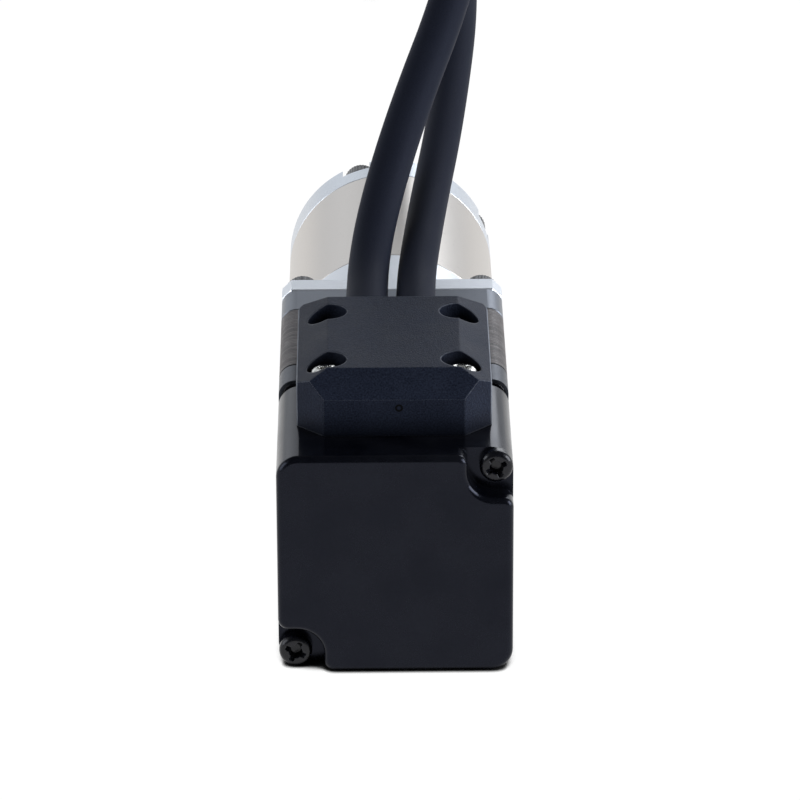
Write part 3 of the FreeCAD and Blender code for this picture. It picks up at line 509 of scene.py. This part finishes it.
def lift(tree, height, target, strength, distance, normal=None):
    bump = add(tree, "ShaderNodeBump")
    bump.inputs["Strength"].default_value = strength
    bump.inputs["Distance"].default_value = distance
    feed(tree, height, bump.inputs["Height"])
    if normal is not None:
        feed(tree, normal, bump.inputs["Normal"])
    feed(tree, bump.outputs[0], target)


def dress(material, *names):
    for name in names:
        mesh = nodes[name].data
        mesh.materials.clear()
        mesh.materials.append(material)
    print(material.name, "on", ", ".join(names))


print("finish helpers: srgb, use_group, start_finish, vary, lift, dress")

# %% [markdown]
# ## Plastics and rubber
# The encoder's cover is a smooth satin moulding, the cable box has a fine spark texture, and the
# jackets are matt. Deep blue-blacks hold more colour than they seem to: a pure black would look
# like a hole in the picture. What the eye reads as their tone is mostly the floor's reflection,
# so the Specular IOR Level and its tint are set with as much care as the base colour.

# %% One recipe for the dark mouldings
mould_rough_play = 0.05
grain_height = 0.00004
pocket_shade_reach = 0.003
pocket_shade_depth = 2.0
painted_highlight_tone = srgb(152, 156, 165)
painted_highlight_unevenness = (0.35, 1.0)


def moulded_finish(name, dark, light, edge_highlight_tone, rough, specular, grain_scale, grain_lift,
                   grain_share=0.3, cloud_scale=90.0, edge_radius=0.0001, edge_gain=1.5,
                   edge_threshold=0.0, tint=plain_white, pocket_shade_tone=None, painted_highlight=None):
    material, tree, inputs = start_finish(name, specular=specular)
    inputs["Specular Tint"].default_value = tint
    grain = use_group(tree, grain_group, Scale=grain_scale, Cloud_Scale=cloud_scale)
    edge = use_group(tree, edge_highlight_group, Radius=edge_radius, Gain=edge_gain,
                     Threshold=edge_threshold)
    pattern = mixed(tree, grain_share, grain["Cloud"], grain["Grain"], "FLOAT")
    colour = mixed(tree, pattern, dark, light)
    # painted highlight: a lighter colour along rounded edges
    colour = mixed(tree, edge["Edge"], colour, edge_highlight_tone)
    # painted highlight: a pale uneven line along the cable box's outer edges
    if painted_highlight:
        uneven = remap(tree, grain["Cloud"], target=painted_highlight_unevenness)
        highlight_line = math_node(tree, "MULTIPLY", painted_highlight(tree), uneven)
        colour = mixed(tree, highlight_line, colour, painted_highlight_tone)
    # painted shade: Ambient Occlusion darkens the colour inside the box's pockets
    if pocket_shade_tone:
        shade = math_node(tree, "POWER", occlusion(tree, pocket_shade_reach), pocket_shade_depth)
        colour = mixed(tree, shade, pocket_shade_tone, colour)
    feed(tree, colour, inputs["Base Color"])
    feed(tree, vary(tree, grain["Cloud"], rough, mould_rough_play), inputs["Roughness"])
    lift(tree, grain["Grain"], inputs["Normal"], grain_lift, grain_height, edge["Rounded"])
    arrange(tree)
    return material


print("mouldings: grain", grain_height, "m high")

# %% [markdown]
# ## The painted highlight on the cable box
# The box's outer edges carry a painted highlight, a thin pale uneven line. The edge highlight
# finds every sharp edge, also those in the middle, so this line is a mask by place instead: the
# outer top edges, the upright edges they run into, and faintly the foot.

# %% A mask for the painted highlight on the cable box's outer edges
highlight_x = 0.01157
highlight_z = 0.01955
highlight_y = -0.09155
foot_x = 0.0086
foot_z = 0.01427
foot_share = 0.4


def outer_edge_painted_highlight(tree):
    axes = place_axes(tree)
    across = math_node(tree, "ABSOLUTE", axes["X"])
    above = math_node(tree, "GREATER_THAN", axes["Z"], highlight_z)
    behind = math_node(tree, "LESS_THAN", axes["Y"], highlight_y)
    outside = math_node(tree, "GREATER_THAN", across, highlight_x)
    outer_edge = math_node(tree, "MULTIPLY", outside, math_node(tree, "MAXIMUM", above, behind))
    corner = math_node(tree, "MULTIPLY", math_node(tree, "GREATER_THAN", across, foot_x), behind)
    foot = math_node(tree, "LESS_THAN", axes["Z"], foot_z)
    foot_edge = math_node(tree, "MULTIPLY", corner, foot)
    foot_edge = math_node(tree, "MULTIPLY", foot_edge, foot_share)
    return math_node(tree, "MAXIMUM", outer_edge, foot_edge)


print("rubbed line outside", highlight_x, "m")

# %% The mouldings
blue_gloss = (0.7, 0.75, 1.0, 1.0)

cover_black = moulded_finish(
    "cover_black", srgb(0, 1, 6), srgb(21, 22, 27), srgb(10, 11, 16), rough=0.2, specular=0.23,
    grain_scale=2500.0, grain_lift=0.02, grain_share=0.15, cloud_scale=160.0, tint=blue_gloss)
dress(cover_black, "encoder_cover")
box_black = moulded_finish(
    "box_black", srgb(20, 24, 36), srgb(48, 54, 69), srgb(122, 126, 136), rough=0.45,
    specular=0.075, grain_scale=5000.0, grain_lift=0.5, grain_share=0.75, cloud_scale=250.0,
    edge_radius=0.00035, edge_gain=14.0, edge_threshold=0.13, tint=blue_gloss,
    pocket_shade_tone=srgb(8, 9, 13), painted_highlight=outer_edge_painted_highlight)
dress(box_black, "cable_box")
seal_black = moulded_finish(
    "seal_black", srgb(8, 8, 10), srgb(11, 11, 13), srgb(12, 12, 14), rough=0.75, specular=0.1,
    grain_scale=3000.0, grain_lift=0.1)
dress(seal_black, "cover_seal", "cable_grommet")
jacket_black = moulded_finish(
    "jacket_black", srgb(31, 34, 45), srgb(38, 41, 52), srgb(34, 37, 48), rough=0.6,
    specular=0.07, grain_scale=6000.0, grain_lift=0.1, grain_share=0.7, tint=blue_gloss)
for lead in (motor_lead, encoder_lead):
    lead.data.materials.append(jacket_black)
dress(jacket_black, "motor_cable", "encoder_cable")
nylon_white = moulded_finish(
    "nylon_white", srgb(222, 220, 212), srgb(232, 230, 222), srgb(240, 239, 234), rough=0.45,
    specular=0.4, grain_scale=900.0, grain_lift=0.05)
dress(nylon_white, "board_headers", "front_insulator", "rear_insulator", "motor_plug",
      "encoder_plug")
chip_black = moulded_finish(
    "chip_black", srgb(24, 24, 26), srgb(30, 30, 32), srgb(60, 60, 62), rough=0.4, specular=0.4,
    grain_scale=3500.0, grain_lift=0.1)
dress(chip_black, "reader_chip")

# %% [markdown]
# ## Metals
# Metal takes its look from what it mirrors, so its colour is its reflectance. The tool marks and
# the grain change only the roughness and a little of the tone. The die-cast bells are dark, and
# the rear one is a darker copy of the front one's finish, painted shade. The gearbox ring is
# nickel with a warm tint, and the flange and the rim are pale aluminium.

# %% One recipe for the turned and cast metals
metal_rough_play = 0.08
mark_height = 0.00002


def metal_finish(name, dark, light, rough, mark_share, mark_lift, edge_highlight_tone=None, metallic=1.0,
                 fineness=6000.0, grain_scale=2500.0, edge_radius=0.00015, edge_gain=2.0):
    material, tree, inputs = start_finish(name, metallic=metallic)
    grain = use_group(tree, grain_group, Scale=grain_scale)
    marks = use_group(tree, turn_group, Fineness=fineness)
    pattern = math_node(tree, "MULTIPLY", marks["Mark"], mark_share)
    speckle = math_node(tree, "MULTIPLY", grain["Grain"], 1 - mark_share)
    pattern = math_node(tree, "ADD", pattern, speckle)
    colour = mixed(tree, pattern, dark, light)
    rounded = None
    # painted highlight: a lighter colour along rounded edges
    if edge_highlight_tone:
        edge = use_group(tree, edge_highlight_group, Radius=edge_radius, Gain=edge_gain)
        colour = mixed(tree, edge["Edge"], colour, edge_highlight_tone)
        rounded = edge["Rounded"]
    feed(tree, colour, inputs["Base Color"])
    feed(tree, vary(tree, pattern, rough, metal_rough_play), inputs["Roughness"])
    lift(tree, pattern, inputs["Normal"], mark_lift, mark_height, rounded)
    arrange(tree)
    return material


print("metals: marks", mark_height, "m high")

# %% The castings, the gearbox and its rims
bell_grey = metal_finish(
    "bell_grey", srgb(103, 108, 117), srgb(117, 122, 131), rough=0.38, mark_share=0.2,
    mark_lift=0.08, metallic=0.8)
dress(bell_grey, "front_end_bell")
# painted shade: the same die-cast finish as the front bell, made darker
bell_shaded = metal_finish(
    "bell_shaded", srgb(62, 66, 74), srgb(75, 79, 87), rough=0.38, mark_share=0.2,
    mark_lift=0.08, metallic=0.8)
dress(bell_shaded, "rear_end_bell")
flange_bright = metal_finish(
    "flange_bright", srgb(227, 231, 236), srgb(235, 238, 243), rough=0.46, mark_share=0.4,
    mark_lift=0.01, metallic=0.85)
dress(flange_bright, "gearbox_flange")
ring_nickel = metal_finish(
    "ring_nickel", srgb(190, 184, 178), srgb(201, 196, 190), rough=0.32, mark_share=0.6,
    mark_lift=0.02)
dress(ring_nickel, "ring_gear")
rim_aluminium = metal_finish(
    "rim_aluminium", srgb(200, 206, 213), srgb(216, 221, 228), rough=0.32, mark_share=0.5,
    mark_lift=0.04, metallic=0.8)
dress(rim_aluminium, "output_housing", "disc_hub")

# %% Screws and ground steel
screw_black = metal_finish(
    "screw_black", srgb(8, 9, 16), srgb(17, 18, 27), rough=0.24, mark_share=0.2, mark_lift=0.1,
    edge_highlight_tone=srgb(58, 60, 66), metallic=0.3, edge_radius=0.0002)
dress(screw_black, "cover_screws", "flange_screws", "long_screws", "tie_bolts")
screw_stainless = metal_finish(
    "screw_stainless", srgb(196, 196, 192), srgb(222, 221, 216), rough=0.24, mark_share=0.4,
    mark_lift=0.08, edge_highlight_tone=srgb(238, 238, 235))
dress(screw_stainless, "cable_box_screws", "board_screws", "wave_washer", "planet_washer",
      "shaft_clip")
steel_ground = metal_finish(
    "steel_ground", srgb(186, 187, 188), srgb(212, 213, 214), rough=0.2, mark_share=0.8,
    mark_lift=0.06, edge_highlight_tone=srgb(232, 233, 234), fineness=9000.0)
dress(steel_ground, "output_shaft", "motor_shaft", "front_bearing_outer", "rear_bearing_outer",
      "front_bearing_inner", "rear_bearing_inner", "stage_1_pins", "stage_2_pins")

# %% Gears, balls, bushes and the magnet
planets = ["stage_%d_planet_%s" % (stage, letter) for stage in (1, 2) for letter in "abc"]
steel_gear = metal_finish(
    "steel_gear", srgb(150, 151, 153), srgb(184, 185, 187), rough=0.32, mark_share=0.5,
    mark_lift=0.1, edge_highlight_tone=srgb(212, 213, 215))
dress(steel_gear, "sun_gear", "stage_1_carrier", *planets)
ball_polished = metal_finish(
    "ball_polished", srgb(224, 225, 227), srgb(232, 233, 235), rough=0.1, mark_share=0.2,
    mark_lift=0.01)
dress(ball_polished, "front_bearing_balls", "rear_bearing_balls")
bronze_sintered = metal_finish(
    "bronze_sintered", srgb(160, 116, 64), srgb(196, 150, 92), rough=0.45, mark_share=0.1,
    mark_lift=0.25, edge_highlight_tone=srgb(220, 180, 124), grain_scale=5000.0)
dress(bronze_sintered, "rear_bush", "front_bush", "thrust_washer", "board_pillars")
magnet_grey = metal_finish(
    "magnet_grey", srgb(92, 92, 95), srgb(124, 124, 127), rough=0.5, mark_share=0.1,
    mark_lift=0.2, edge_highlight_tone=srgb(150, 150, 153), metallic=0.6, grain_scale=4000.0)
dress(magnet_grey, "rotor_magnet")

# %% [markdown]
# ## Knurled screw heads
# The socket heads that hold the gearbox are knurled, so that fingers can start them. A bump would
# leave the outline smooth, and the solids have plain heads, so each gets a thin toothed band
# round its side. A band is two circles, the outer one with every second point pulled in, bridged
# to a flat ring and extruded along the screw.

# %% A helper that makes one band or ring on a mesh
knurl_teeth = 36
knurl_tip_r = 0.00231
knurl_foot_r = 0.00223
knurl_inner_r = 0.0018


def add_ring(shape, outer_r, inner_r, start, length, foot_r=None, segments=2 * knurl_teeth,
             clock=0.0):
    outer = bmesh.ops.create_circle(shape, segments=segments, radius=outer_r)["verts"]
    if foot_r:
        bmesh.ops.scale(shape, verts=outer[::2], vec=(foot_r / outer_r, foot_r / outer_r, 1))
    inner = bmesh.ops.create_circle(shape, segments=segments, radius=inner_r)["verts"]
    loops = list({edge for vert in outer + inner for edge in vert.link_edges})
    flat = bmesh.ops.bridge_loops(shape, edges=loops)["faces"]
    grown = bmesh.ops.extrude_face_region(shape, geom=flat)["geom"]
    far = [item for item in grown if isinstance(item, bmesh.types.BMVert)]
    bmesh.ops.translate(shape, verts=far, vec=(0, 0, length))
    ring = outer + inner + far
    along_y = Matrix.Rotation(-math.pi / 2, 3, "X") @ Matrix.Rotation(clock, 3, "Z")
    bmesh.ops.rotate(shape, verts=ring, matrix=along_y)
    bmesh.ops.translate(shape, verts=ring, vec=start)


def finish_piece(name, shape, material):
    bmesh.ops.recalc_face_normals(shape, faces=shape.faces)
    mesh = bpy.data.meshes.new(name)
    shape.to_mesh(mesh)
    shape.free()
    mesh.materials.append(material)
    piece = bpy.data.objects.new(name, mesh)
    scene.collection.objects.link(piece)
    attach(piece, "housing")
    print(name, len(mesh.polygons), "faces")
    return piece


print("knurl of", knurl_teeth, "teeth")

# %% Bands on the four flange screws and the four long screws
flange_screw_x = 0.0115
flange_band_y = -0.0449
long_screw_circle = 0.01145
long_screw_clock = math.radians(-19.8)
long_band_y = -0.0024
band_length = 0.0021

shape = bmesh.new()
for side in (-1, 1):
    for level in (-1, 1):
        start = (side * flange_screw_x, flange_band_y, level * flange_screw_x)
        add_ring(shape, knurl_tip_r, knurl_inner_r, start, band_length, knurl_foot_r)
finish_piece("flange_screw_knurls", shape, screw_black)

shape = bmesh.new()
for quarter in range(4):
    angle = long_screw_clock + quarter * math.pi / 2
    start = (long_screw_circle * math.sin(angle), long_band_y, long_screw_circle * math.cos(angle))
    add_ring(shape, knurl_tip_r, knurl_inner_r, start, band_length, knurl_foot_r)
finish_piece("long_screw_knurls", shape, screw_black)

# %% [markdown]
# ## Gate mark
# A moulding keeps a small round scar where the plastic flowed in. On the cable box it sits low in
# the middle of the rear face. A dark spot in the material would do from afar, but a ring that
# stands out by the thickness of a hair also catches the light. The torn plastic is darker than
# the textured face, so the ring takes the seal's black.

# %% The scar on the cable box
gate_place = (0.00055, -0.09504, 0.01776)
gate_outer_r = 0.00045
gate_inner_r = 0.00028
gate_height = 0.00009
gate_segments = 32

shape = bmesh.new()
add_ring(shape, gate_outer_r, gate_inner_r, gate_place, gate_height, segments=gate_segments)
finish_piece("gate_mark", shape, seal_black)

# %% [markdown]
# ## Terminals
# Each wire ends in a folded tin terminal that clips into its own cavity of the crimp housing. A
# square tube is enough to see from outside, and the ring helper makes one when it is given four
# segments and an eighth of a turn.

# %% Terminals for both housings
terminal_gap = 0.00005
terminal_wall = 0.0002
terminal_set_back = 0.0008
terminal_length = 0.0057
to_corner = math.sqrt(2)
motor_mouth = (0.0120, 0.2107, -0.0101)
encoder_mouth = (-0.0025, 0.2267, -0.0106)
terminal_tin = metal_finish(
    "terminal_tin", srgb(186, 181, 168), srgb(208, 203, 190), rough=0.3, mark_share=0.1,
    mark_lift=0.05)


def make_terminals(name, mouth, cavity, pitch, columns):
    shape = bmesh.new()
    half = cavity / 2 - terminal_gap
    start_y = mouth[1] - terminal_set_back - terminal_length
    for column in range(columns):
        for row in (-1, 1):
            start = (mouth[0] + pitch * (column - (columns - 1) / 2), start_y,
                     mouth[2] + row * pitch / 2)
            add_ring(shape, half * to_corner, (half - terminal_wall) * to_corner, start,
                     terminal_length, segments=4, clock=math.pi / 4)
    return finish_piece(name, shape, terminal_tin)


motor_terminals = make_terminals(
    "motor_terminals", motor_mouth, cavity=0.0026, pitch=0.0042, columns=2)
encoder_terminals = make_terminals(
    "encoder_terminals", encoder_mouth, cavity=0.0015, pitch=0.0025, columns=4)

# %% Both cables
print("cables laid")

# %% [markdown]
# ## Laminated steel
# The stator is a stack of thin sheets, and its sides show their cut edges as fine lines with a
# tarnish that differs a little from sheet to sheet. Dozens of thin plates could be modelled, but
# the lines are finer than a pixel here, so a group draws them. Where the last sheet meets the rear
# bell, its edge is drawn nearly black, a painted shade in the seam.

# %% The laminated stack
sheet_pitch = 0.0005
sheet_dark = srgb(56, 54, 54)
sheet_light = srgb(112, 107, 107)
gap_tone = srgb(36, 34, 34)
gap_share = 0.7
speckle_scale = 1700.0
speckle_share = 0.8
joint_y = -0.0727
seam_shade_tone = srgb(16, 16, 19)
stack_rough = 0.5
stack_rough_play = 0.1
stack_height = 0.00005

stack_steel, tree, inputs = start_finish("stack_steel", metallic=0.55)
sheet = use_group(tree, sheet_group, Pitch=sheet_pitch)
grain = use_group(tree, grain_group, Scale=speckle_scale)
speckle = math_node(tree, "MULTIPLY", grain["Grain"], speckle_share)
gap = math_node(tree, "MULTIPLY", sheet["Line"], gap_share)
# painted shade: the seam at the rear bell is drawn nearly black
seam_shade = math_node(tree, "LESS_THAN", place_axes(tree)["Y"], joint_y)
tone = mixed(tree, sheet["Sheet Tone"], sheet_dark, sheet_light)
tone = mixed(tree, speckle, tone, sheet_light)
tone = mixed(tree, gap, tone, gap_tone)
tone = mixed(tree, seam_shade, tone, seam_shade_tone)
feed(tree, tone, inputs["Base Color"])
feed(tree, vary(tree, grain["Grain"], stack_rough, stack_rough_play), inputs["Roughness"])
height = math_node(tree, "SUBTRACT", grain["Grain"], sheet["Line"])
lift(tree, height, inputs["Normal"], strength=0.4, distance=stack_height)
arrange(tree)
dress(stack_steel, "stator_core", "rotor_cup_front", "rotor_cup_rear")

# %% [markdown]
# ## Copper, board and disc
# The windings are enamelled wire. Their turns are too fine to model one by one, so they get the
# sheet lines again, closer together and a little wobbly. The board is green solder mask over a
# glass weave, and the code disc is clear with dark radial marks, drawn by the sine of the angle.

# %% Windings
wire_pitch = 0.00035
wire_wobble = 0.4
wire_rough = (0.22, 0.36)
wire_height = 0.00006

copper_wire, tree, inputs = start_finish("copper_wire", metallic=0.85)
turns = use_group(tree, sheet_group, Pitch=wire_pitch, Wobble=wire_wobble)
copper = mixed(tree, turns["Sheet Tone"], srgb(150, 72, 36), srgb(196, 106, 58))
copper = mixed(tree, turns["Line"], copper, srgb(70, 30, 16))
feed(tree, copper, inputs["Base Color"])
feed(tree, remap(tree, turns["Sheet Tone"], target=wire_rough), inputs["Roughness"])
lift(tree, turns["Line"], inputs["Normal"], strength=0.6, distance=wire_height)
arrange(tree)
dress(copper_wire, "windings")

# %% Encoder board
weave_scale = 400.0
board_edge_r = 0.0002
board_rough = (0.28, 0.4)
weave_height = 0.00003

board_green, tree, inputs = start_finish("board_green")
weave = use_group(tree, grain_group, Cloud_Scale=weave_scale)["Cloud"]
edge = use_group(tree, edge_highlight_group, Radius=board_edge_r)
green = mixed(tree, weave, srgb(20, 84, 44), srgb(30, 104, 58))
# painted highlight: the edge group lightens the board's edges
green = mixed(tree, edge["Edge"], green, srgb(150, 160, 110))
feed(tree, green, inputs["Base Color"])
feed(tree, remap(tree, weave, target=board_rough), inputs["Roughness"])
lift(tree, weave, inputs["Normal"], strength=0.15, distance=weave_height)
arrange(tree)
dress(board_green, "encoder_board")

# %% Code disc
code_marks = 200
disc_alpha = (0.45, 0.95)
disc_rough = (0.08, 0.3)

disc_glass, tree, inputs = start_finish("disc_glass")
axes = place_axes(tree)
angle = math_node(tree, "ARCTAN2", axes["X"], axes["Z"])
wave = math_node(tree, "SINE", math_node(tree, "MULTIPLY", angle, code_marks))
dark = math_node(tree, "GREATER_THAN", wave, 0.0)
feed(tree, mixed(tree, dark, srgb(196, 206, 206), srgb(40, 42, 44)), inputs["Base Color"])
feed(tree, remap(tree, dark, target=disc_alpha), inputs["Alpha"])
feed(tree, remap(tree, dark, target=disc_rough), inputs["Roughness"])
arrange(tree)
dress(disc_glass, "code_disc")
